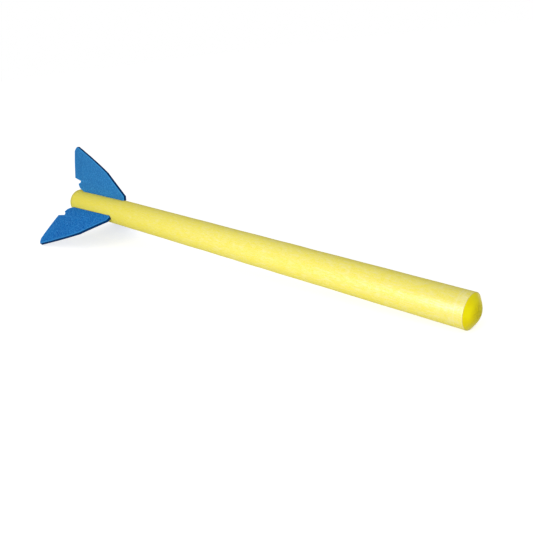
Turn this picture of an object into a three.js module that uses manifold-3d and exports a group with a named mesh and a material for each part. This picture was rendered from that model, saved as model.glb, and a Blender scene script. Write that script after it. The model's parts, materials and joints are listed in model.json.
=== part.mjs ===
import * as THREE from 'three';
import * as BufferGeometryUtils from 'three/addons/utils/BufferGeometryUtils.js';
import Module from 'manifold-3d';

// A foam throwing javelin for track and field practice, in millimetres with +Z up.
// A cut of extruded foam tube carries a moulded rubber nose plug in its front end,
// and three fins die-cut from foam sheet, whose tongues are glued into slits near the tail.
// Every piece is first made in the shaft's own frame: x runs along the shaft's axis
// from the tail's cut face towards the nose, and z points along the top fin.
// At the end the whole javelin is laid down on its front end and on its two lower fins.

const wasm = await Module();
wasm.setup();

// Foam tube
const SHAFT_LENGTH = 900;
const SHAFT_DIAMETER = 50;
const BORE_DIAMETER = 20;

// Nose plug: a low dome outside, slightly narrower than the tube, and a ribbed stem pushed into the bore.
// The dome's radius falls as sqrt(1 - share ** NOSE_FULLNESS), with the share of its height reached.
const NOSE_DIAMETER = 48.8;
const NOSE_HEIGHT = 10.9;
const NOSE_FULLNESS = 0.88;
const STEM_LENGTH = 60;
const STEM_COLLAR = 12;
const RIB_COUNT = 4;
const RIB_HEIGHT = 1.2;

// Fins: their length is taken along the shaft, and their span out from its surface
const FIN_THICKNESS = 6;
const FIN_LENGTH = 171;
const FIN_SPAN = 89;
const FIN_OVERHANG = 10.4;
const TONGUE_DEPTH = 12;
const FIN_CANT = THREE.MathUtils.degToRad(2);

// As photographed: the top fin's tip is slightly bent. The right fin sits in a slit of its own angle,
// further back, leans over from its root, and is bent a little further to its tip.
const TOP_FIN_BEND = -4;
const RIGHT_FIN_TURN = THREE.MathUtils.degToRad(-8.3);
const RIGHT_FIN_SETBACK = 12.7;
const RIGHT_FIN_LEAN = THREE.MathUtils.degToRad(20.6);
const RIGHT_FIN_BEND = 6.5;

// One clearance for every glued or pushed-in joint, and one overrun for every cut
const JOINT_GAP = 0.3;
const CUT_OVERRUN = 5;

// Smoothness of round shapes and of the bent sheet
const ROUND_STEPS = 64;
const DOME_STEPS = 8;
const CURVE_STEPS = 8;
const BEND_STEPS = 10;

// The fin's outline, as shares of its length and of its span from the shaft's surface
const LEADING_EDGE_SHARES = {
  rootFront: [1, 0],
  frontTop: [0.994, 0.096],
  frontBow: [0.814, 0.332],
  kink: [0.662, 0.531],
  tipBow: [0.417, 0.753],
  tip: [0.058, 1],
};
const TRAILING_EDGE_SHARES = {
  tipRound: [0.026, 0.982],
  tipBack: [0, 0.885],
  inner: [0.013, 0.264],
  step: [0.103, 0.23],
  bite: [0.154, 0.228],
  biteBack: [0.11, 0.168],
  tooth: [0.082, 0.149],
  toothRound: [0.083, 0.04],
  rootBack: [0.168, 0],
};
const TONGUE_SHARES = [0.18, 0.985];

const shaftRadius = SHAFT_DIAMETER / 2;
const boreRadius = BORE_DIAMETER / 2;
const tongueInnerRadius = shaftRadius - TONGUE_DEPTH;
const cantStation = FIN_LENGTH / 2;

const foamYellow = new THREE.MeshStandardMaterial({ color: 0xeee36e, roughness: 0.85, metalness: 0 });
const rubberYellow = new THREE.MeshStandardMaterial({ color: 0xf0da12, roughness: 0.42, metalness: 0 });
const foamBlue = new THREE.MeshStandardMaterial({ color: 0x1f78be, roughness: 0.8, metalness: 0 });

// A closed geometry as a solid that can be cut and joined
function toSolid(geometry) {
  geometry.deleteAttribute('normal');
  geometry.deleteAttribute('uv');
  const welded = BufferGeometryUtils.mergeVertices(geometry);
  return new wasm.Manifold(new wasm.Mesh({
    numProp: 3,
    vertProperties: new Float32Array(welded.attributes.position.array),
    triVerts: new Uint32Array(welded.index.array),
  }));
}

// A cut solid as a geometry again, with flat faces
function toGeometry(solid) {
  const { vertProperties, triVerts } = solid.getMesh();
  const indexed = new THREE.BufferGeometry();
  indexed.setAttribute('position', new THREE.BufferAttribute(vertProperties, 3));
  indexed.setIndex(new THREE.BufferAttribute(triVerts, 1));
  const geometry = indexed.toNonIndexed();
  geometry.computeVertexNormals();
  return geometry;
}

function namedMesh(name, geometry, material) {
  const mesh = new THREE.Mesh(geometry, material);
  mesh.name = name;
  return mesh;
}

// A profile of (radius, station) points turned about the shaft's axis
function turned(profile) {
  return new THREE.LatheGeometry(profile, ROUND_STEPS).rotateZ(-Math.PI / 2);
}

// Where a fin sits on the shaft: turned about the axis, canted about its own radial line, set back
function finPlace(fin) {
  const around = new THREE.Matrix4().makeRotationX(fin.angle);
  const toStation = new THREE.Matrix4().makeTranslation(cantStation, 0, 0);
  const canted = new THREE.Matrix4().makeRotationY(FIN_CANT);
  const fromStation = new THREE.Matrix4().makeTranslation(-cantStation - fin.setback, 0, 0);
  return around.multiply(toStation).multiply(canted).multiply(fromStation);
}

// The fin's sheet seen from its end: flat inside the shaft, then leaning over and bent as a parabola
function bentSheet(fin) {
  const flatEnd = tongueInnerRadius - CUT_OVERRUN;
  const reach = FIN_SPAN + CUT_OVERRUN;
  const slope = Math.tan(fin.lean);
  const curvature = fin.bend / FIN_SPAN ** 2;
  const near = [new THREE.Vector2(flatEnd, -FIN_THICKNESS / 2)];
  const far = [new THREE.Vector2(flatEnd, FIN_THICKNESS / 2)];
  const steps = fin.bend === 0 ? 1 : BEND_STEPS;
  for (let i = 0; i <= steps; i += 1) {
    const out = reach * i / steps;
    const middle = new THREE.Vector2(shaftRadius + out, slope * out + curvature * out ** 2);
    const half = new THREE.Vector2(-slope - 2 * curvature * out, 1).setLength(FIN_THICKNESS / 2);
    near.push(middle.clone().sub(half));
    far.push(middle.clone().add(half));
  }
  const section = new THREE.Shape(near.concat(far.reverse()));
  const length = FIN_LENGTH + 2 * CUT_OVERRUN;
  const geometry = new THREE.ExtrudeGeometry(section, { depth: length, bevelEnabled: false });
  const axes = new THREE.Matrix4().makeBasis(
    new THREE.Vector3(0, 1, 0),
    new THREE.Vector3(0, 0, 1),
    new THREE.Vector3(1, 0, 0),
  );
  return geometry.applyMatrix4(axes).translate(-FIN_OVERHANG - CUT_OVERRUN, 0, 0);
}

// The cutting die: the fin's outline with its tongue, x along the shaft and y out from its axis
function finDie(fin) {
  const at = ([along, out]) => [
    along * FIN_LENGTH - FIN_OVERHANG,
    shaftRadius + JOINT_GAP + out * FIN_SPAN,
  ];
  const front = LEADING_EDGE_SHARES;
  const back = TRAILING_EDGE_SHARES;
  const [tongueBack, tongueFront] = TONGUE_SHARES.map((share) => share * FIN_LENGTH - FIN_OVERHANG);
  const rootLine = shaftRadius + JOINT_GAP;

  const outline = new THREE.Shape();
  outline.moveTo(tongueBack, tongueInnerRadius);
  outline.lineTo(tongueFront, tongueInnerRadius);
  outline.lineTo(tongueFront, rootLine);
  outline.lineTo(...at(front.rootFront));
  outline.lineTo(...at(front.frontTop));
  outline.quadraticCurveTo(...at(front.frontBow), ...at(front.kink));
  outline.quadraticCurveTo(...at(front.tipBow), ...at(front.tip));
  outline.quadraticCurveTo(...at(back.tipRound), ...at(back.tipBack));
  outline.lineTo(...at(back.inner));
  outline.lineTo(...at(back.step));
  outline.quadraticCurveTo(...at(back.bite), ...at(back.biteBack));
  outline.lineTo(...at(back.tooth));
  outline.quadraticCurveTo(...at(back.toothRound), ...at(back.rootBack));
  outline.lineTo(tongueBack, rootLine);

  const tipShift = Math.tan(fin.lean) * FIN_SPAN + fin.bend;
  const depth = Math.abs(tipShift) + 2 * FIN_THICKNESS + 2 * CUT_OVERRUN;
  const geometry = new THREE.ExtrudeGeometry(outline, {
    depth,
    bevelEnabled: false,
    curveSegments: CURVE_STEPS,
  });
  return geometry.translate(0, 0, (tipShift - depth) / 2);
}

function finMesh(fin) {
  const blade = toSolid(bentSheet(fin)).intersect(toSolid(finDie(fin)));
  const mesh = namedMesh(fin.name, toGeometry(blade), foamBlue);
  mesh.applyMatrix4(finPlace(fin));
  return mesh;
}

// The slit that holds one fin's tongue, open only through the tube's surface
function finSlit(fin) {
  const [back, front] = TONGUE_SHARES.map((share) => share * FIN_LENGTH - FIN_OVERHANG);
  const length = front - back + 2 * JOINT_GAP;
  const depth = TONGUE_DEPTH + JOINT_GAP + CUT_OVERRUN;
  const slit = new THREE.BoxGeometry(length, depth, FIN_THICKNESS + 2 * JOINT_GAP);
  slit.translate((back + front) / 2, shaftRadius + CUT_OVERRUN - depth / 2, 0);
  return toSolid(slit.applyMatrix4(finPlace(fin)));
}

function shaftMesh(fins) {
  const profile = [
    new THREE.Vector2(boreRadius, 0),
    new THREE.Vector2(shaftRadius, 0),
    new THREE.Vector2(shaftRadius, SHAFT_LENGTH),
    new THREE.Vector2(boreRadius, SHAFT_LENGTH),
    new THREE.Vector2(boreRadius, 0),
  ];
  let tube = toSolid(turned(profile));
  for (const fin of fins) {
    tube = tube.subtract(finSlit(fin));
  }
  return namedMesh('foam_shaft', toGeometry(tube), foamYellow);
}

// The plug's profile runs from the stem's end, over its ribs and the rim, to the dome's top.
// Its heights follow a sine, so that the steps get finer where the dome gets flat.
function noseMesh() {
  const stemRadius = boreRadius - JOINT_GAP;
  const rootRadius = stemRadius - RIB_HEIGHT;
  const ribPitch = (STEM_LENGTH - STEM_COLLAR) / RIB_COUNT;

  const profile = new THREE.Path();
  profile.moveTo(0, -STEM_LENGTH);
  for (let i = 0; i < RIB_COUNT; i += 1) {
    const ribBack = i * ribPitch - STEM_LENGTH;
    profile.lineTo(rootRadius, ribBack);
    profile.lineTo(stemRadius, ribBack + ribPitch);
  }
  profile.lineTo(rootRadius, -STEM_COLLAR);
  profile.lineTo(rootRadius, 0);
  for (let i = 0; i < DOME_STEPS; i += 1) {
    const share = Math.sin(Math.PI / 2 * i / DOME_STEPS);
    const radius = NOSE_DIAMETER / 2 * Math.sqrt(1 - share ** NOSE_FULLNESS);
    profile.lineTo(radius, share * NOSE_HEIGHT);
  }
  profile.lineTo(0, NOSE_HEIGHT);
  const plug = turned(profile.getPoints()).translate(SHAFT_LENGTH + JOINT_GAP, 0, 0);
  return namedMesh('nose_plug', plug, rubberYellow);
}

// The lowest point of a mesh along a given up direction, in the shaft's frame
function lowestPoint(mesh, up) {
  mesh.updateMatrix();
  const positions = mesh.geometry.attributes.position;
  const lowest = new THREE.Vector3();
  let least = Infinity;
  for (let i = 0; i < positions.count; i += 1) {
    const point = new THREE.Vector3().fromBufferAttribute(positions, i).applyMatrix4(mesh.matrix);
    if (point.dot(up) < least) {
      least = point.dot(up);
      lowest.copy(point);
    }
  }
  return lowest;
}

// Turns the javelin so that the plane through its three lowest points is level.
// The search starts with the front end tipped down, so that the tail end is never taken for the lowest.
function layDown(javelin, supports) {
  const up = new THREE.Vector3(-0.1, 0, 1).normalize();
  const passes = supports.length * 2;
  for (let pass = 0; pass < passes; pass += 1) {
    const [a, b, c] = supports.map((mesh) => lowestPoint(mesh, up));
    const normal = b.sub(a).cross(c.sub(a)).normalize();
    up.copy(normal.z < 0 ? normal.negate() : normal);
  }
  const heading = new THREE.Vector3(1, 0, 0).projectOnPlane(up).normalize();
  const side = up.clone().cross(heading);
  const level = new THREE.Matrix4().makeBasis(heading, side, up).invert();
  javelin.quaternion.setFromRotationMatrix(level);
  javelin.updateMatrixWorld(true);
  const box = new THREE.Box3().setFromObject(javelin, true);
  const centre = box.getCenter(new THREE.Vector3());
  javelin.position.set(-centre.x, -centre.y, -box.min.z);
}

const fins = [
  { name: 'fin_top', angle: Math.PI / 2, setback: 0, lean: 0, bend: TOP_FIN_BEND },
  {
    name: 'fin_right',
    angle: Math.PI * 7 / 6 + RIGHT_FIN_TURN,
    setback: RIGHT_FIN_SETBACK,
    lean: RIGHT_FIN_LEAN,
    bend: RIGHT_FIN_BEND,
  },
  { name: 'fin_left', angle: Math.PI * 11 / 6, setback: 0, lean: 0, bend: 0 },
];

const shaft = shaftMesh(fins);
const [finTop, finRight, finLeft] = fins.map(finMesh);
const javelin = new THREE.Group();
javelin.add(shaft, noseMesh(), finTop, finRight, finLeft);
layDown(javelin, [shaft, finRight, finLeft]);

export default javelin;
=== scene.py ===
"""Looks of a foam throwing javelin: a foam tube, a rubber nose plug and three sheet-foam fins.

Every piece is worked out in the shaft's own frame, in metres: x runs along the tube's axis from the
tail's cut face towards the nose, z points along the top fin, and y points to the left of the throw.
lay_down then turns the points as the javelin lies on its front end and on its two lower fins.
"""
import json
import math

import bmesh
import bpy
import numpy as np
from mathutils import Matrix, Vector


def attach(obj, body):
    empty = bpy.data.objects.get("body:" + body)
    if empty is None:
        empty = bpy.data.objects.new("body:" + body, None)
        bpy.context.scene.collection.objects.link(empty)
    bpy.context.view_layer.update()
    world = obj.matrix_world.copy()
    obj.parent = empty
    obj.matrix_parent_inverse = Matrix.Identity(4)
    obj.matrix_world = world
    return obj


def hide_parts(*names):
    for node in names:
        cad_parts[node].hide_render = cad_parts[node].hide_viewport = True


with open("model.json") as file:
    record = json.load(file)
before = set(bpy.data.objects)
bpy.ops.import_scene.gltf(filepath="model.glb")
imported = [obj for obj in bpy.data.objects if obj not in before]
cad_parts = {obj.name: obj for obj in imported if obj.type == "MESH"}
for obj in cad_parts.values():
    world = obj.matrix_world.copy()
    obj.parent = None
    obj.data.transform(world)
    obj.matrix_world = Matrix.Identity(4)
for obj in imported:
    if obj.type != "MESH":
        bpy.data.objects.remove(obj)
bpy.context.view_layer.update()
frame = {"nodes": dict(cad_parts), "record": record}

# Foam tube
# The body is a length of extruded closed-cell polyethylene foam tube, about 50 mm thick, cut square at
# both ends. Its skin is matt, faintly dimpled and mottled, with weak lines from the extruder. Three
# slits cut near the tail hold the fins' tongues.

MM = 0.001
SHAFT_LENGTH = 900 * MM
SHAFT_RADIUS = 25 * MM
BORE_RADIUS = 10 * MM
RIM_ROUNDING = 0.7 * MM
GLUE_LINE = 0.25 * MM
TUBE_END = SHAFT_LENGTH + GLUE_LINE

FIN_LENGTH = 171 * MM
FIN_SPAN = 89 * MM
FIN_THICKNESS = 6 * MM
FIN_OVERHANG = 10.4 * MM
FIN_CANT = math.radians(2)
CANT_STATION = FIN_LENGTH / 2
TONGUE_DEPTH = 12 * MM
TONGUE_SHARES = (0.18, 0.985)
JOINT_GAP = 0.3 * MM
FIN_ANGLES = (math.radians(90), math.radians(201.7), math.radians(330))
FIN_SETBACKS = (0.0, 12.7 * MM, 0.0)

SLIT_HALF_WIDTH = FIN_THICKNESS / 2 + JOINT_GAP
SLIT_FLOOR = SHAFT_RADIUS - TONGUE_DEPTH - JOINT_GAP
SLIT_LIP_SINK = 0.35 * MM
SLIT_LIP_REACH = 1.1 * MM

SKIN_WAVES = {"turns": 5, "lengths": (60 * MM, 260 * MM), "count": 26, "seed": 11}
SKIN_WAVE_DEPTH = 0.16 * MM
DIMPLES = {"turns": 30, "lengths": (4.5 * MM, 14 * MM), "count": 70, "seed": 12}
DIMPLE_DEPTH = 0.05 * MM
SKIN_SINK = 0.08 * MM
RELIEF_FADE_LENGTH = 6 * MM
RELIEF_LEFT_AT_ENDS = 0.4
RELIEF_LEFT_IN_BORE = 0.25
FACE_WAVES = {"turns": 24, "lengths": (2 * MM, 10 * MM), "count": 40, "seed": 13}
FACE_WAVE_DEPTH = 0.12 * MM
FACE_RELIEF_LIMIT = 0.3 * MM

# Steps of the tube's surface: rows along and through it, then columns across a slit, beside its lips
# and from slit to slit
STATION_STEP = 1.65 * MM
HAIR_BREADTH = 0.01 * MM
SLIT_END_CLEARANCE = 0.3 * MM
RIM_ROWS = 5
FACE_ROWS = 12
BORE_ROWS = 60
NOTCH_HEIGHTS = np.array([1, 0.5, 0, 0, 0, 0, 0, 0.5, 1])
NOTCH_SIDES = np.array([-1, -1, -1, -0.5, 0, 0.5, 1, 1, 1])
LIP_COLUMNS = np.array([0.35, 0.8, 1.4, 2.2]) * MM
GAP_COLUMNS = 27
POINT_MERGING = 0.002 * MM
CORNER_TOLERANCE = 0.05 * MM

CUT_RIM_DEPTH = 0.4 * RIM_ROUNDING
# Near the nose a paler patch: partly rubbed foam, partly a painted highlight for the sheen there
RUB_AND_SHEEN_FROM = SHAFT_LENGTH - 60 * MM
RUB_AND_SHEEN_FULLY = SHAFT_LENGTH - 15 * MM
RING_STATION = SHAFT_LENGTH - 12 * MM
RING_HALF_WIDTH = 1.3 * MM
SEAM_FROM = SHAFT_LENGTH - 1.2 * MM
SEAM_FULLY = SHAFT_LENGTH - 0.2 * MM
TAIL_RIM_WIDTH = 9 * MM

FOAM_YELLOW = (0.785, 0.68, 0.012)
FOAM_DEEP_YELLOW = (0.755, 0.645, 0.001)
FOAM_PALE = (0.785, 0.72, 0.31)
CUT_FOAM_YELLOW = (0.66, 0.57, 0.05)
SEAM_BEIGE = (0.92, 0.81, 0.24)
TAIL_OLIVE = (0.49, 0.425, 0.02)


def corner_points(node):
    """All different corner points of a CAD node, one in each row, rounded to a micrometre."""
    vertices = frame["nodes"][node].data.vertices
    flat = np.empty(3 * len(vertices))
    vertices.foreach_get("co", flat)
    return np.unique(flat.reshape(-1, 3).round(6), axis=0)


# How the javelin lies: its heading is opposite to the tail mount's axis, the tail's middle is the mean
# of the tail face's corners, and the top fin's flat tongue gives the up direction
tail_mount = frame["record"]["mounts"][0]
heading = -np.array(tail_mount["axis"])
heading /= np.linalg.norm(heading)
shaft_corners = corner_points("foam_shaft")
stations_of_corners = shaft_corners @ heading
on_tail_face = stations_of_corners < stations_of_corners.min() + CORNER_TOLERANCE
tail_middle = shaft_corners[on_tail_face].mean(axis=0)
top_fin_corners = corner_points("fin_top")
from_axis = np.linalg.norm(np.cross(top_fin_corners - tail_middle, heading), axis=1)
tongue_corners = top_fin_corners[from_axis < SHAFT_RADIUS + JOINT_GAP]
sheet_normal = np.linalg.svd(tongue_corners - tongue_corners.mean(axis=0))[2][2]
upward = np.cross(heading, sheet_normal)
upward /= np.linalg.norm(upward)
upward *= np.sign(upward[2])
shaft_axes = np.column_stack((heading, np.cross(upward, heading), upward))


def lay_down(points):
    """Points of the shaft's frame as the javelin lies: the tail's middle plus each axis times its share."""
    return tail_middle + points @ shaft_axes.T


def wavy(places, turns, lengths, count, seed):
    """A smooth random relief between about -1 and 1 for arrays of station x and angle round the tube.

    It is the sum of `count` cosine waves over the root of twice their count. Each has a seeded wavelength
    along x between the two lengths, a seeded whole number of turns round the tube up to `turns`, so that
    it closes, and a seeded phase.
    """
    stations, angles = places
    draw = np.random.default_rng(seed)
    relief = np.zeros(np.broadcast(stations, angles).shape)
    for _ in range(count):
        rate = 2 * math.pi / draw.uniform(*lengths) * draw.choice((-1, 1))
        around = draw.integers(0, turns + 1)
        relief += np.cos(rate * stations + around * angles + draw.uniform(0, 2 * math.pi))
    return relief / math.sqrt(2 * count)


def smooth_step(values, start, end):
    """0 before start and 1 after end, with the cubic 3t² - 2t³ between them."""
    share = np.clip((values - start) / (end - start), 0, 1)
    return share * share * (3 - 2 * share)


def surface_object(name, points, masks, closed_rows):
    """An object from a grid of points in the shaft's frame, where every row of points is a closed loop.

    Neighbouring rows are joined by quads, and the last row joins the first one if closed_rows is true.
    Points that coincide, as at a pole, are merged. Masks are numbers for each point, kept as attributes.
    """
    rows, columns = points.shape[:2]
    first = np.arange(rows if closed_rows else rows - 1)[:, None]
    column = np.arange(columns)[None, :]
    here = first * columns + column
    beside = first * columns + (column + 1) % columns
    above = (first + 1) % rows * columns + column
    above_beside = (first + 1) % rows * columns + (column + 1) % columns
    quads = np.stack((here, beside, above_beside, above), axis=-1).reshape(-1, 4)
    mesh = bpy.data.meshes.new(name)
    mesh.from_pydata(lay_down(points.reshape(-1, 3)).tolist(), [], quads.tolist())
    for mask_name, values in masks.items():
        mask = mesh.attributes.new(mask_name, "FLOAT", "POINT")
        mask.data.foreach_set("value", np.broadcast_to(values, (rows, columns)).astype(np.float32).ravel())
    shell = bmesh.new()
    shell.from_mesh(mesh)
    bmesh.ops.remove_doubles(shell, verts=shell.verts, dist=POINT_MERGING)
    if shell.calc_volume(signed=True) < 0:
        bmesh.ops.reverse_faces(shell, faces=shell.faces)
    shell.to_mesh(mesh)
    shell.free()
    mesh.shade_smooth()
    made = bpy.data.objects.new(name, mesh)
    bpy.context.scene.collection.objects.link(made)
    return made


def slit_ends(setback):
    """The two stations between which one fin's slit is open, with the joint's clearance at each end."""
    back, front = (share * FIN_LENGTH - FIN_OVERHANG for share in TONGUE_SHARES)
    return tuple(
        CANT_STATION + math.cos(FIN_CANT) * (end - CANT_STATION - setback)
        for end in (back - JOINT_GAP, front + JOINT_GAP)
    )


def from_cut_end(station):
    """How far a station lies from the nearer cut end of the tube."""
    return np.minimum(station, TUBE_END - station)


def tube_path(ends):
    """The way once round the tube's wall: each step's station and radius, and whether it is on the skin.

    It leads over the skin from tail to nose, in across the front face, back through the bore and out
    across the tail face. At both cut ends the skin's radius falls off as a quarter circle. Where a slit
    begins or ends, two steps lie two hair breadths apart, and no even step is left close to them.
    """
    bead = np.sin(np.linspace(0, math.pi / 2, RIM_ROWS))
    tail_rim = RIM_ROUNDING * (1 - bead[::-1])
    nose_rim = TUBE_END - RIM_ROUNDING * (1 - bead)
    count = round((TUBE_END - 2 * RIM_ROUNDING) / STATION_STEP)
    even = np.linspace(RIM_ROUNDING, TUBE_END - RIM_ROUNDING, count)[1:-1]
    sides = (-HAIR_BREADTH, HAIR_BREADTH)
    at_slits = np.array([end + side for pair in ends for end in pair for side in sides])
    clear = np.abs(even[:, None] - at_slits[None, :]).min(axis=1) > SLIT_END_CLEARANCE
    skin = np.sort(np.concatenate((tail_rim, even[clear], np.unique(at_slits), nose_rim)))
    rim_share = np.clip(1 - from_cut_end(skin) / RIM_ROUNDING, 0, 1)
    skin_radius = SHAFT_RADIUS - RIM_ROUNDING * (1 - np.sqrt(1 - rim_share**2))

    front_radii = np.linspace(skin_radius[-1], BORE_RADIUS, FACE_ROWS)[1:]
    bore_stations = np.linspace(TUBE_END, 0, BORE_ROWS)[1:]
    tail_radii = np.linspace(BORE_RADIUS, skin_radius[0], FACE_ROWS)[1:-1]
    front_stations = np.full(len(front_radii), TUBE_END)
    bore_radii = np.full(len(bore_stations), BORE_RADIUS)
    station = np.concatenate((skin, front_stations, bore_stations, np.zeros(len(tail_radii))))
    radius = np.concatenate((skin_radius, front_radii, bore_radii, tail_radii))
    return station, radius, np.arange(len(station)) < len(skin)


def column_angles(drift):
    """The angle of every column round the tube, in one block for each slit, for the slits' sideways drift.

    A point that lies s to the side of a fin's middle plane has the fin's angle plus the arcsine of s over
    the tube's radius. A block crosses its slit in even steps from lip to lip, leaves the lip in the steps
    of LIP_COLUMNS, runs on evenly and closes in on the next slit's lip in the same steps.
    """
    notch_share = np.linspace(-1, 1, len(NOTCH_SIDES))
    notches = [
        fin_angle + np.arcsin((drift + notch_share * SLIT_HALF_WIDTH) / SHAFT_RADIUS)
        for fin_angle in FIN_ANGLES
    ]
    low_lips = [notch[:, :1] for notch in notches]
    next_lips = [*low_lips[1:], low_lips[0] + 2 * math.pi]
    near_lip = LIP_COLUMNS / SHAFT_RADIUS
    between = np.linspace(0, 1, GAP_COLUMNS + 2)[1:-1]
    blocks = []
    for notch, next_lip in zip(notches, next_lips):
        high_lip = notch[:, -1:]
        gap_start = high_lip + near_lip[-1]
        gap_end = next_lip - near_lip[-1]
        even = gap_start + between * (gap_end - gap_start)
        blocks += [notch, high_lip + near_lip, even, next_lip - near_lip[::-1]]
    return np.hstack(blocks)


def tube_radii(places, radius, on_skin, drift, open_rows):
    """The distance from the axis for each point: the path's radius plus the relief, less the sunk lips.

    The relief is a sum of long waves and small dimples. On the skin it is lowered by SKIN_SINK, cut off at
    as much above the plain radius, and weaker near the cut ends. In the bore it is weaker still. A lip
    sinks by SLIT_LIP_SINK times e to the power of minus the distance from it over SLIT_LIP_REACH.
    """
    station, angle = places
    relief = SKIN_WAVE_DEPTH * wavy(places, **SKIN_WAVES) + DIMPLE_DEPTH * wavy(places, **DIMPLES)
    fade = smooth_step(from_cut_end(station), 0, RELIEF_FADE_LENGTH)
    left = RELIEF_LEFT_AT_ENDS + (1 - RELIEF_LEFT_AT_ENDS) * fade
    skin_relief = np.minimum(relief - SKIN_SINK, SKIN_SINK) * left
    rho = radius[:, None] + np.where(on_skin[:, None], skin_relief, RELIEF_LEFT_IN_BORE * relief)
    for fin_angle, open_here in zip(FIN_ANGLES, open_rows):
        from_lip = np.abs(SHAFT_RADIUS * np.sin(angle - fin_angle) - drift) - SLIT_HALF_WIDTH
        by_this_slit = (np.cos(angle - fin_angle) > 0) & open_here[:, None] & (from_lip > -HAIR_BREADTH)
        rho = rho - SLIT_LIP_SINK * np.exp(-np.clip(from_lip, 0, None) / SLIT_LIP_REACH) * by_this_slit
    return rho


def tube_surface():
    """Points and cut-face mask of the whole tube, as one closed surface.

    A row is a step of the tube's path, and a column is a place round the tube, at its radius and angle.
    Where a row lies inside a slit, the columns between its two lips drop down one wall, cross the slit's
    floor and climb the other wall: their height is the floor's plus NOTCH_HEIGHTS times the lip's height
    over the floor. The slits are canted, so all columns drift sideways by the cant's tangent times the
    distance from CANT_STATION, and stop drifting a quarter of the way along the tube. A cut face is set
    in by FACE_WAVE_DEPTH times 1 plus its waves, but no further than FACE_RELIEF_LIMIT. The mask marks the
    slits' walls, the bore, the cut faces and the outer part of their rims.
    """
    ends = [slit_ends(setback) for setback in FIN_SETBACKS]
    station, radius, on_skin = tube_path(ends)
    open_rows = [on_skin & (station > back) & (station < front) for back, front in ends]
    drift = -math.tan(FIN_CANT) * (station - CANT_STATION)
    past_fins = station[on_skin].searchsorted(SHAFT_LENGTH / 4)
    drift = np.maximum(drift, drift[past_fins])[:, None]
    angle = column_angles(drift)
    rho = tube_radii((station[:, None], angle), radius, on_skin, drift, open_rows)

    y = rho * np.cos(angle)
    z = rho * np.sin(angle)
    inside = np.zeros(angle.shape, bool)
    across = drift + NOTCH_SIDES * SLIT_HALF_WIDTH
    block = angle.shape[1] // len(FIN_ANGLES)
    for k, (fin_angle, open_here) in enumerate(zip(FIN_ANGLES, open_rows)):
        notch = slice(k * block, k * block + len(NOTCH_SIDES))
        inside[:, notch][:, 1:-1] = open_here[:, None]
        lip_height = (rho * np.cos(angle - fin_angle))[:, notch][:, :1]
        out = SLIT_FLOOR + NOTCH_HEIGHTS * (lip_height - SLIT_FLOOR)
        notch_y = out * math.cos(fin_angle) - across * math.sin(fin_angle)
        notch_z = out * math.sin(fin_angle) + across * math.cos(fin_angle)
        y[:, notch] = np.where(inside[:, notch], notch_y, y[:, notch])
        z[:, notch] = np.where(inside[:, notch], notch_z, z[:, notch])

    on_face = ~on_skin & ((station == 0) | (station == TUBE_END))
    face_relief = FACE_WAVE_DEPTH * (1 + wavy((rho, angle), **FACE_WAVES))
    inward = np.where(station == 0, 1, -1)[:, None] * face_relief
    inward = np.clip(inward, -FACE_RELIEF_LIMIT, FACE_RELIEF_LIMIT)
    x = station[:, None] + np.where(on_face[:, None], inward, 0)
    cut_rows = ~on_skin | (from_cut_end(station) < CUT_RIM_DEPTH)
    return np.stack((x, y, z), axis=-1), inside | cut_rows[:, None]


def new_material(name):
    """A material with its node tree and its Principled shader."""
    material = bpy.data.materials.new(name)
    material.use_nodes = True
    return material, material.node_tree, material.node_tree.nodes["Principled BSDF"]


def add_node(tree, kind, inputs=(), **settings):
    """A shader node. Settings are its own properties, and inputs gives its sockets values or outputs."""
    node = tree.nodes.new(kind)
    for key, value in settings.items():
        setattr(node, key, value)
    for socket, value in dict(inputs).items():
        if isinstance(value, bpy.types.NodeSocket):
            tree.links.new(value, node.inputs[socket])
        else:
            node.inputs[socket].default_value = value
    return node


def mixed(tree, share, first, second):
    """The colour output of a mix of two colours, where share is a number or an output."""
    node = add_node(tree, "ShaderNodeMix", data_type="RGBA")
    for socket, value in ((node.inputs[0], share), (node.inputs[6], first), (node.inputs[7], second)):
        if isinstance(value, bpy.types.NodeSocket):
            tree.links.new(value, socket)
        else:
            socket.default_value = (*value, 1) if isinstance(value, tuple) else value
    return node.outputs[2]


def remapped(tree, value, source, target):
    """An output that crosses the target range as value crosses the source range, and goes no further."""
    inputs = {0: value, 1: source[0], 2: source[1], 3: target[0], 4: target[1]}
    return add_node(tree, "ShaderNodeMapRange", inputs).outputs[0]


def calculated(tree, operation, first, second):
    """The output of one sum, product or other operation on two numbers or outputs."""
    return add_node(tree, "ShaderNodeMath", {0: first, 1: second}, operation=operation).outputs[0]


def noise(tree, place, per_metre, detail, roughness=0.5):
    """A noise output from 0 to 1 with about per_metre bumps to the metre."""
    inputs = {"Vector": place, "Scale": per_metre, "Detail": detail, "Roughness": roughness}
    return add_node(tree, "ShaderNodeTexNoise", inputs).outputs[0]


def shaft_place(tree, stretch=1):
    """Object coordinates turned into the shaft's frame. A stretch above 1 draws a pattern out along x."""
    place = add_node(tree, "ShaderNodeTexCoord").outputs["Object"]
    turned = Matrix(shaft_axes.tolist()).to_euler()
    inputs = {"Vector": place, "Location": tail_middle, "Rotation": turned, "Scale": (stretch, 1, 1)}
    return add_node(tree, "ShaderNodeMapping", inputs, vector_type="TEXTURE").outputs[0]


def bumped(tree, heights, shader):
    """Chains one bump node for each (height output, distance in metres) and gives the shader its normal."""
    normal = None
    for height, distance in heights:
        inputs = {"Height": height, "Distance": distance, "Strength": 1.0}
        if normal is not None:
            inputs["Normal"] = normal
        normal = add_node(tree, "ShaderNodeBump", inputs).outputs[0]
    tree.links.new(normal, shader.inputs["Normal"])


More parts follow.
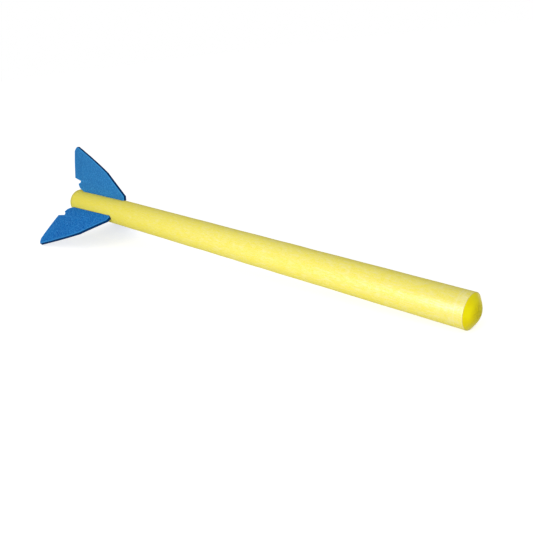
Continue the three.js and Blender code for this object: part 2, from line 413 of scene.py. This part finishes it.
def foam_skin_material():
    """Pale yellow foam: fine cells, mottling, faint lines along the tube, and rougher cut faces.

    The specks and lines get weaker towards the tail. Near the nose it is rubbed paler, and this pale patch
    also paints the sheen there (painted highlight), with a faint ring round it. It is darker olive near the
    tail's cut end. Its gloss dies away where it is seen at a low angle, as its fine dimples shade each
    other.
    """
    material, tree, shader = new_material("yellow_foam")
    place = shaft_place(tree)
    grain = noise(tree, place, per_metre=700, detail=3, roughness=0.6)
    mottle = noise(tree, place, per_metre=300, detail=3, roughness=0.55)
    blotch = noise(tree, place, per_metre=34, detail=2)
    lines = noise(tree, shaft_place(tree, stretch=6), per_metre=560, detail=2)
    scuff = noise(tree, place, per_metre=110, detail=4, roughness=0.65)
    cells = add_node(tree, "ShaderNodeTexVoronoi", {"Vector": place, "Scale": 950}).outputs["Distance"]
    cut = add_node(tree, "ShaderNodeAttribute", attribute_name="cut_face").outputs["Fac"]
    along = add_node(tree, "ShaderNodeSeparateXYZ", {0: place}).outputs[0]

    mottled = mixed(tree, remapped(tree, mottle, (0.3, 0.7), (0, 1)), FOAM_DEEP_YELLOW, FOAM_YELLOW)
    worn = remapped(tree, along, (0, SHAFT_LENGTH / 2), (0.25, 1))
    specks = calculated(tree, "MULTIPLY", worn, remapped(tree, grain, (0.45, 0.65), (0, 0.6)))
    streaks = calculated(tree, "MULTIPLY", worn, remapped(tree, lines, (0.48, 0.66), (0, 0.6)))
    grained = mixed(tree, specks, mottled, FOAM_PALE)
    lined = mixed(tree, streaks, grained, FOAM_PALE)
    blotched = mixed(tree, remapped(tree, blotch, (0.35, 0.7), (0, 0.3)), lined, FOAM_DEEP_YELLOW)
    # Paler near the nose: rubbed foam, and a painted highlight that stands in for the sheen there
    near_nose = remapped(tree, along, (RUB_AND_SHEEN_FROM, RUB_AND_SHEEN_FULLY), (0, 0.5))
    rubbed_and_sheen = calculated(tree, "MULTIPLY", near_nose, remapped(tree, scuff, (0.46, 0.62), (0.02, 1)))
    scuffed_and_sheen = mixed(tree, rubbed_and_sheen, blotched, FOAM_PALE)
    # Darker olive within TAIL_RIM_WIDTH of the tail's cut end
    darker_at_tail = mixed(tree, remapped(tree, along, (0, TAIL_RIM_WIDTH), (0.9, 0)), scuffed_and_sheen, TAIL_OLIVE)
    cut_foam = mixed(tree, remapped(tree, cells, (0.1, 0.6), (0, 1)), CUT_FOAM_YELLOW, FOAM_PALE)
    faced = mixed(tree, cut, darker_at_tail, cut_foam)
    from_ring = calculated(tree, "ABSOLUTE", calculated(tree, "SUBTRACT", along, RING_STATION), 0.0)
    ringed = mixed(tree, remapped(tree, from_ring, (0, RING_HALF_WIDTH), (0.5, 0)), faced, FOAM_PALE)
    seamed = mixed(tree, remapped(tree, along, (SEAM_FROM, SEAM_FULLY), (0, 0.7)), ringed, SEAM_BEIGE)
    tree.links.new(seamed, shader.inputs["Base Color"])

    rough = remapped(tree, mottle, (0.3, 0.7), (0.31, 0.43))
    rougher = calculated(tree, "ADD", rough, calculated(tree, "MULTIPLY", cut, 0.35))
    grazing = add_node(tree, "ShaderNodeLayerWeight", {"Blend": 0.5}).outputs["Facing"]
    dulled = calculated(tree, "ADD", rougher, remapped(tree, grazing, (0.1, 0.7), (0, 0.6)))
    tree.links.new(dulled, shader.inputs["Roughness"])
    shader.inputs["IOR"].default_value = 1.62
    shader.inputs["Specular IOR Level"].default_value = 1.0
    heights = ((mottle, 0.25 * MM), (cells, 0.10 * MM), (grain, 0.12 * MM), (lines, 0.06 * MM))
    bumped(tree, heights, shader)
    return material


tube_points, tube_cut = tube_surface()
foam_tube = surface_object("foam_tube", tube_points, {"cut_face": tube_cut}, True)
foam_tube.data.materials.append(foam_skin_material())
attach(foam_tube, "root")
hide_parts("foam_shaft")

# Nose plug
# A plug of soft, bright yellow rubber, moulded in one piece: a low dome nearly as wide as the tube, and
# a ribbed stem that is pushed and glued into the bore. Its weight makes the javelin fly nose first.

NOSE_RADIUS = 24.4 * MM
NOSE_HEIGHT = 10.9 * MM
NOSE_FULLNESS = 0.88
NOSE_RIM_ROUNDING = 0.1 * MM
NOSE_RIM_INSET = 0.42 * MM
BACK_INSET = 1.2 * MM
STEM_LENGTH = 60 * MM
STEM_COLLAR = 12 * MM
RIB_COUNT = 4
RIB_HEIGHT = 1.2 * MM
RIB_LAND_SHARE = 0.05
# Where the olive scuffs and painted shade begin on the dome
SCUFF_AND_SHADE_FROM = SHAFT_LENGTH + 6 * MM

DOME_ROWS = 40
DOME_FOOT_ANGLE = 0.02
NOSE_RIM_ROWS = 6
NOSE_RIM_START_ANGLE = 0.5
PLUG_COLUMNS = 144

RUBBER_YELLOW = (0.99, 0.89, 0.002)
RUBBER_DEEP_YELLOW = (0.96, 0.81, 0.001)
SCUFF_AND_SHADE_OLIVE = (0.50, 0.40, 0.01)


def plug_surface():
    """Points of the plug, a profile of (along, radius) turned about the axis, a joint's gap off the tube.

    The profile runs from the dome's pole to its rim, over the flat back, along the stem's plain collar and
    over its saw-tooth ribs to its end. At the share s of its height the dome's radius is NOSE_RADIUS times
    the root of 1 - s ** NOSE_FULLNESS. A small arc takes the place of the rim's sharp corner.
    """
    share = np.sin(np.linspace(math.pi / 2, DOME_FOOT_ANGLE, DOME_ROWS))
    dome_radius = NOSE_RADIUS * np.sqrt(1 - share**NOSE_FULLNESS)
    dome_profile = np.column_stack((share * NOSE_HEIGHT, dome_radius))
    bead = np.linspace(NOSE_RIM_START_ANGLE, math.pi, NOSE_RIM_ROWS)
    rim_profile = np.column_stack((
        NOSE_RIM_ROUNDING * (1 + np.cos(bead)),
        NOSE_RADIUS - NOSE_RIM_INSET + NOSE_RIM_ROUNDING * np.sin(bead),
    ))
    stem_radius = BORE_RADIUS - JOINT_GAP
    root_radius = stem_radius - RIB_HEIGHT
    pitch = (STEM_LENGTH - STEM_COLLAR) / RIB_COUNT
    back_profile = np.array([
        (0, NOSE_RADIUS - BACK_INSET),
        (0, (NOSE_RADIUS + root_radius) / 2),
        (0, root_radius),
        (-STEM_COLLAR / 2, root_radius),
        (-STEM_COLLAR + RIB_LAND_SHARE * pitch, root_radius),
    ])
    tooth = np.array([(0, stem_radius), (RIB_LAND_SHARE, stem_radius), (1, root_radius)])
    starts = -STEM_COLLAR - pitch * np.arange(RIB_COUNT)
    teeth = np.concatenate([tooth * (-pitch, 1) + (start, 0) for start in starts])
    end_profile = np.array([(-STEM_LENGTH, root_radius / 2), (-STEM_LENGTH, 0)])
    profile = np.concatenate((dome_profile, rim_profile, back_profile, teeth, end_profile))
    turn = np.linspace(0, 2 * math.pi, PLUG_COLUMNS, endpoint=False)[None, :]
    x = SHAFT_LENGTH + JOINT_GAP + profile[:, :1] + 0 * turn
    return np.stack((x, profile[:, 1:] * np.cos(turn), profile[:, 1:] * np.sin(turn)), axis=-1)


def rubber_material():
    """Satin yellow rubber with a faint moulded grain, and dull scuffs where the dome lands, partly painted
    shade.
    """
    material, tree, shader = new_material("yellow_rubber")
    place = shaft_place(tree)
    cloud = noise(tree, place, per_metre=60, detail=3)
    grain = noise(tree, place, per_metre=1400, detail=2)
    scratch = noise(tree, place, per_metre=420, detail=4, roughness=0.7)
    along = add_node(tree, "ShaderNodeSeparateXYZ", {0: place}).outputs[0]
    # Olive towards the dome's tip: partly scuffs, partly painted shade
    tip = remapped(tree, along, (SCUFF_AND_SHADE_FROM, SHAFT_LENGTH + NOSE_HEIGHT), (0, 1))
    worn = calculated(tree, "MULTIPLY", tip, remapped(tree, scratch, (0.4, 0.66), (0.2, 0.75)))
    clouded = mixed(tree, remapped(tree, cloud, (0.35, 0.65), (0, 1)), RUBBER_YELLOW, RUBBER_DEEP_YELLOW)
    tree.links.new(mixed(tree, worn, clouded, SCUFF_AND_SHADE_OLIVE), shader.inputs["Base Color"])
    satin = remapped(tree, grain, (0.3, 0.7), (0.27, 0.37))
    rougher = calculated(tree, "ADD", satin, calculated(tree, "MULTIPLY", worn, 0.4))
    tree.links.new(rougher, shader.inputs["Roughness"])
    shader.inputs["Specular IOR Level"].default_value = 0.10
    bumped(tree, ((grain, 0.03 * MM), (scratch, 0.04 * MM), (cloud, 0.3 * MM)), shader)
    return material


nose_dome = surface_object("nose_dome_plug", plug_surface(), {}, False)
nose_dome.data.materials.append(rubber_material())
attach(nose_dome, "root")
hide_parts("nose_plug")

# Fins
# Three fins die-cut from 6 mm blue sheet foam. A tongue on each is glued into its slit in the tube.
# The right fin's slit isn't in line with the others, and its blade leans over from the tube on.

LEADING_EDGE_SHARES = {
    "root_front": (1, 0),
    "front_top": (0.994, 0.096),
    "front_bow": (0.814, 0.332),
    "kink": (0.662, 0.531),
    "tip_bow": (0.417, 0.753),
    "tip": (0.058, 1),
}
TRAILING_EDGE_SHARES = {
    "tip_round": (0.026, 0.982),
    "tip_back": (0, 0.885),
    "inner": (0.013, 0.264),
    "step": (0.103, 0.23),
    "bite": (0.154, 0.228),
    "bite_back": (0.11, 0.168),
    "tooth": (0.082, 0.149),
    "tooth_round": (0.083, 0.04),
    "root_back": (0.168, 0),
}
FIN_NAMES = ("top", "right", "left")
FIN_LEANS = (0.0, math.radians(20.6), 0.0)
FIN_BENDS = (-4 * MM, 6.5 * MM, 0.0)
# Each fin's share of a greyer blue: painted sheen, strongest on the top fin
FIN_SHEEN_TINTS = (1.0, 0.0, 0.4)
FIN_SEEDS = (3, 5, 4)
CUT_ROUNDING = 0.45 * MM
EDGE_BAND = 2.2 * MM
SHEET_WAVES = {"turns": 12, "lengths": (14 * MM, 60 * MM), "count": 40}
SHEET_WAVE_DEPTH = 0.10 * MM

CURVE_POINTS = 17
TONGUE_ROWS = 8
TONGUE_TOP = -0.04 * MM
ROW_STEP = 1.3 * MM
BEAD_COLUMNS = 5
WALL_HEIGHTS = np.array([0.5, 0, -0.5])
SHEET_COLUMNS = 84
LARGEST_RIM_SHARE = 0.49

FIN_BLUE = (0.000, 0.175, 0.52)
FIN_DEEP_BLUE = (0.000, 0.095, 0.38)
FIN_PALE_BLUE = (0.040, 0.275, 0.66)
# Greyer blue of the painted sheen
SHEEN_GREY_BLUE = (0.055, 0.25, 0.44)
# Paler blue close to the cut edges: painted highlight
EDGE_HIGHLIGHT_BLUE = (0.045, 0.31, 0.68)
CUT_NAVY = (0.000, 0.036, 0.14)


def curve_points(start, bow, end):
    """A quadratic curve from start to end drawn towards bow, in outline shares.

    At the share t it is (1 - t)² of the start, 2t(1 - t) of the bow and t² of the end.
    """
    share = np.linspace(0, 1, CURVE_POINTS)[:, None]
    start, bow, end = (np.array(point, float) for point in (start, bow, end))
    return (1 - share) ** 2 * start + 2 * share * (1 - share) * bow + share**2 * end


def edge_lines():
    """The leading and the trailing edge, each from the root to the tip, as (along, out) in metres.

    Along is measured on the shaft's axis, and out from the root line, which lies on the tube.
    """
    front, back = LEADING_EDGE_SHARES, TRAILING_EDGE_SHARES
    leading = np.concatenate((
        [front["root_front"]],
        curve_points(front["front_top"], front["front_bow"], front["kink"]),
        curve_points(front["kink"], front["tip_bow"], front["tip"])[1:],
    ))
    trailing = np.concatenate((
        curve_points(back["root_back"], back["tooth_round"], back["tooth"]),
        curve_points(back["bite_back"], back["bite"], back["step"]),
        [back["inner"]],
        curve_points(back["tip_back"], back["tip_round"], front["tip"]),
    ))
    scale, offset = (FIN_LENGTH, FIN_SPAN), (FIN_OVERHANG, 0)
    return leading * scale - offset, trailing * scale - offset


def fin_rows():
    """Each row's distance out from the root line, and its trailing and leading end along the shaft.

    The tongue's rows come first. The blade has a row at every corner of its outline, and more between
    them, no further apart than ROW_STEP. The first row comes twice, to close the tongue's end.
    """
    leading, trailing = edge_lines()
    corners = np.unique(np.concatenate((leading[:, 1], trailing[:, 1])).round(7))
    tongue = np.linspace(-TONGUE_DEPTH - JOINT_GAP, TONGUE_TOP, TONGUE_ROWS)
    blade = [
        np.linspace(low, high, max(2, math.ceil((high - low) / ROW_STEP) + 1))[:-1]
        for low, high in zip(corners[:-1], corners[1:])
    ]
    out = np.concatenate((tongue[:1], tongue, *blade, corners[-1:]))
    tongue_back, tongue_front = (share * FIN_LENGTH - FIN_OVERHANG for share in TONGUE_SHARES)
    rear = np.where(out < 0, tongue_back, np.interp(out, trailing[:, 1], trailing[:, 0]))
    front = np.where(out < 0, tongue_front, np.interp(out, leading[:, 1], leading[:, 0]))
    return out, rear, front


def slant_of(edge, out):
    """How much longer a step on an edge is than its step outwards: the root of 1 plus its slope squared."""
    on_blade = out >= 0
    slope = np.zeros(len(out))
    slope[on_blade] = np.gradient(edge[on_blade], out[on_blade])
    return np.hypot(1, slope)[:, None]


def fin_surface(angle, setback, lean, bend, seed):
    """Points and masks of one fin, as closed sections stacked from the tongue's end to the tip.

    A row is a section of the sheet at one distance out from the root line: over one face from the
    trailing to the leading edge, round the rim, back over the other face and round the other rim.
    The rim's corners are rounded at right angles to the outline, and the faces are thinned by waves.
    Outside the tube the sheet's middle leans over and bends as a parabola: the distance out times the
    lean's tangent, plus the bend times the square of the distance out over the span. Then the sheet is
    turned by the cant about CANT_STATION, and by the fin's angle about the tube's axis. One mask is the
    share of the cut edge. The other is the closeness to the outline: e to the power of minus the square
    of the distance from it over EDGE_BAND.
    """
    out, rear, front = fin_rows()
    rear_slant, front_slant = slant_of(rear, out), slant_of(front, out)
    out, rear, front = out[:, None], rear[:, None], front[:, None]

    bead = np.linspace(0, math.pi / 2, BEAD_COLUMNS)
    half = FIN_THICKNESS / 2
    rise = np.concatenate((
        half - CUT_ROUNDING * (1 - np.cos(bead)),
        WALL_HEIGHTS * (half - CUT_ROUNDING),
        CUT_ROUNDING * (1 - np.cos(bead[::-1])) - half,
    ))
    inset = CUT_ROUNDING * np.concatenate((1 - np.sin(bead), 0 * WALL_HEIGHTS, 1 - np.sin(bead[::-1])))
    room = LARGEST_RIM_SHARE * (front - rear)
    front_rim = front - np.minimum(inset * front_slant, room)
    rear_rim = rear + np.minimum(inset * rear_slant, room)
    share = np.linspace(0, 1, SHEET_COLUMNS + 2)[None, 1:-1]
    over = rear_rim[:, :1] + share * (front_rim[:, :1] - rear_rim[:, :1])
    along = np.hstack((over, front_rim, over[:, ::-1], rear_rim[:, ::-1]))
    on_face = np.ones(SHEET_COLUMNS)
    height = np.concatenate((half * on_face, rise, -half * on_face, rise[::-1]))
    rim_share = 1 - inset / CUT_ROUNDING
    cut = np.concatenate((0 * on_face, rim_share, 0 * on_face, rim_share[::-1]))

    waves = wavy((along, 2 * out / FIN_SPAN), **SHEET_WAVES, seed=seed)
    height = height * (1 + np.minimum(SHEET_WAVE_DEPTH * (waves - 1), 0) / half)
    height[0] = 0
    y = SHAFT_RADIUS + JOINT_GAP + out
    from_skin = np.maximum(y - SHAFT_RADIUS, 0)
    curvature = bend / FIN_SPAN**2
    slope = np.where(from_skin > 0, math.tan(lean), 0) + 2 * curvature * from_skin
    z = math.tan(lean) * from_skin + curvature * from_skin**2 + height / np.hypot(1, slope)
    y = y - slope * height / np.hypot(1, slope)
    from_outline = np.minimum((front - along) / front_slant, (along - rear) / rear_slant)
    near_edge = np.exp(-((from_outline / EDGE_BAND) ** 2)) * (1 - cut)

    from_cant = along - CANT_STATION - setback
    x = CANT_STATION + math.cos(FIN_CANT) * from_cant + math.sin(FIN_CANT) * z
    side = math.cos(FIN_CANT) * z - math.sin(FIN_CANT) * from_cant
    turned_y = math.cos(angle) * y - math.sin(angle) * side
    turned_z = math.sin(angle) * y + math.cos(angle) * side
    return np.stack((x, turned_y, turned_z), axis=-1), {"cut_edge": cut, "near_edge": near_edge}


def sheet_foam_material():
    """Matt blue sheet foam: fine pores and soft clouding on its faces, and darker cells on its cut edges.

    Close to the cut edges it is paler: a painted highlight along the rounded rims.
    """
    material, tree, shader = new_material("blue_sheet_foam")
    place = add_node(tree, "ShaderNodeTexCoord").outputs["Object"]
    pores = noise(tree, place, per_metre=620, detail=2, roughness=0.6)
    mottle = noise(tree, place, per_metre=400, detail=2, roughness=0.6)
    cloud = noise(tree, place, per_metre=45, detail=3)
    cut = add_node(tree, "ShaderNodeAttribute", attribute_name="cut_edge").outputs["Fac"]
    near_edge = add_node(tree, "ShaderNodeAttribute", attribute_name="near_edge").outputs["Fac"]
    painted_sheen_tint = add_node(tree, "ShaderNodeAttribute", attribute_name="painted_sheen_tint").outputs["Fac"]

    clouded = mixed(tree, remapped(tree, cloud, (0.3, 0.7), (0.2, 0.8)), FIN_DEEP_BLUE, FIN_BLUE)
    mottled = mixed(tree, remapped(tree, mottle, (0.47, 0.58), (0, 0.9)), clouded, FIN_PALE_BLUE)
    pored = mixed(tree, remapped(tree, pores, (0.5, 0.58), (0, 0.8)), mottled, FIN_DEEP_BLUE)
    # A greyer blue by each fin's share: painted sheen, strongest on the top fin
    sheen_tint = mixed(tree, calculated(tree, "MULTIPLY", painted_sheen_tint, 0.35), pored, SHEEN_GREY_BLUE)
    # Paler close to the cut edges: painted highlight along the rims
    edge_highlighted = mixed(tree, calculated(tree, "MULTIPLY", near_edge, 0.8), sheen_tint, EDGE_HIGHLIGHT_BLUE)
    coloured = mixed(tree, remapped(tree, cut, (0.35, 0.8), (0, 1)), edge_highlighted, CUT_NAVY)
    tree.links.new(coloured, shader.inputs["Base Color"])
    rough = remapped(tree, mottle, (0.3, 0.7), (0.52, 0.66))
    rougher = calculated(tree, "ADD", rough, calculated(tree, "MULTIPLY", cut, 0.25))
    tree.links.new(rougher, shader.inputs["Roughness"])
    shader.inputs["Specular IOR Level"].default_value = 0.05
    bumped(tree, ((mottle, 0.12 * MM), (pores, 0.06 * MM)), shader)
    return material


blue_foam = sheet_foam_material()
fin_settings = zip(FIN_NAMES, FIN_ANGLES, FIN_SETBACKS, FIN_LEANS, FIN_BENDS, FIN_SEEDS, FIN_SHEEN_TINTS)
for name, angle, setback, lean, bend, seed, sheen_tint in fin_settings:
    fin_points, fin_masks = fin_surface(angle, setback, lean, bend, seed)
    # The fin's share of the painted sheen
    fin_masks["painted_sheen_tint"] = sheen_tint
    fin = surface_object("sheet_fin_" + name, fin_points, fin_masks, False)
    fin.data.materials.append(blue_foam)
    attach(fin, "root")
    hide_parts("fin_" + name)

# Studio
# A white floor without an edge in view, one soft lamp to the left of the camera and low over the floor,
# and an even pale sky. Floor and sky look white to the camera and in gloss, and the floor keeps the shadow.

FLOOR_RADIUS = 9.0
FLOOR_RINGS = 12
FLOOR_CORNERS = 96
FLOOR_FIRST_SHARE = 0.02
FLOOR_DROP = 0.2 * MM
FLOOR_COLOUR = (0.62, 0.62, 0.62)
FLOOR_LIFT = 0.68
SKY_LEVEL = 0.6
LAMP_PLACE = (0.29, -0.99, 0.30)
LAMP_AIM = (0.0, 0.0, 0.05)
LAMP_SIZE = 0.6
LAMP_WATTS = 7.9


def seen_directly(tree):
    """1 for rays from the camera, off gloss or through glass, and 0 for the rays that light the pieces."""
    path = add_node(tree, "ShaderNodeLightPath").outputs
    gloss = calculated(tree, "MAXIMUM", path["Is Glossy Ray"], path["Is Transmission Ray"])
    return calculated(tree, "MAXIMUM", path["Is Camera Ray"], gloss)


def floor_object():
    """A round floor: rings of corners joined by quads, and the innermost ring filled by one face.

    A ring's radius is the floor's times the square of a share that grows evenly up to 1.
    """
    radii = FLOOR_RADIUS * np.linspace(FLOOR_FIRST_SHARE, 1, FLOOR_RINGS)[:, None] ** 2
    turn = np.linspace(0, 2 * math.pi, FLOOR_CORNERS, endpoint=False)[None, :]
    flat = 0 * radii * turn - FLOOR_DROP
    points = np.stack((radii * np.cos(turn), radii * np.sin(turn), flat), axis=-1)
    first = FLOOR_CORNERS * np.arange(FLOOR_RINGS - 1)[:, None]
    corner = np.arange(FLOOR_CORNERS)[None, :]
    here = first + corner
    beside = first + (corner + 1) % FLOOR_CORNERS
    quads = np.stack((here, here + FLOOR_CORNERS, beside + FLOOR_CORNERS, beside), axis=-1).reshape(-1, 4)
    mesh = bpy.data.meshes.new("floor")
    mesh.from_pydata(points.reshape(-1, 3).tolist(), [], quads.tolist() + [list(range(FLOOR_CORNERS))])
    made = bpy.data.objects.new("floor", mesh)
    bpy.context.scene.collection.objects.link(made)
    return made


floor = floor_object()
paint, paint_tree, paint_shader = new_material("white_floor")
paint_tree.nodes.remove(paint_shader)
matt = add_node(paint_tree, "ShaderNodeBsdfDiffuse", {"Color": (*FLOOR_COLOUR, 1)})
lift = calculated(paint_tree, "MULTIPLY", seen_directly(paint_tree), FLOOR_LIFT)
glow = add_node(paint_tree, "ShaderNodeEmission", {"Strength": lift})
both = add_node(paint_tree, "ShaderNodeAddShader", {0: matt.outputs[0], 1: glow.outputs[0]})
paint_tree.links.new(both.outputs[0], paint_tree.nodes["Material Output"].inputs["Surface"])
floor.data.materials.append(paint)

sky = bpy.data.worlds.new("studio")
sky.use_nodes = True
level = remapped(sky.node_tree, seen_directly(sky.node_tree), (0, 1), (SKY_LEVEL, 1))
sky.node_tree.links.new(level, sky.node_tree.nodes["Background"].inputs["Strength"])
sky.node_tree.nodes["Background"].inputs["Color"].default_value = (1, 1, 1, 1)
bpy.context.scene.world = sky

lamp = bpy.data.lights.new("soft_lamp", "AREA")
lamp.shape = "DISK"
lamp.size = LAMP_SIZE
lamp.energy = LAMP_WATTS
lamp_object = bpy.data.objects.new("soft_lamp", lamp)
lamp_object.location = LAMP_PLACE
lamp_object.rotation_euler = (Vector(LAMP_AIM) - Vector(LAMP_PLACE)).to_track_quat("-Z", "Y").to_euler()
lamp_object.visible_camera = False
bpy.context.scene.collection.objects.link(lamp_object)

# Camera
# It stands in front and to the right of the nose and looks down on the javelin, turned a little
# clockwise about its line of sight.

CAMERA_PLACE = (0.81762, -0.68207, 0.38672)
CAMERA_AZIMUTH = math.radians(46.191)
CAMERA_ELEVATION = math.radians(20.288)
CAMERA_ROLL = math.radians(-6.602)
LENS_MM = 44.638
SENSOR_MM = 36
NEAR_CLIP = 10 * MM
FAR_CLIP = 100

camera = bpy.data.cameras.new("camera")
camera.sensor_width = SENSOR_MM
camera.lens = LENS_MM
camera.clip_start = NEAR_CLIP
camera.clip_end = FAR_CLIP
camera_object = bpy.data.objects.new("camera", camera)
sight = Matrix.Rotation(CAMERA_AZIMUTH, 4, "Z") @ Matrix.Rotation(math.pi / 2 - CAMERA_ELEVATION, 4, "X")
roll = Matrix.Rotation(CAMERA_ROLL, 4, "Z")
camera_object.matrix_world = Matrix.Translation(CAMERA_PLACE) @ sight @ roll
bpy.context.scene.collection.objects.link(camera_object)
bpy.context.scene.camera = camera_object
bpy.context.scene.view_settings.view_transform = "Standard"
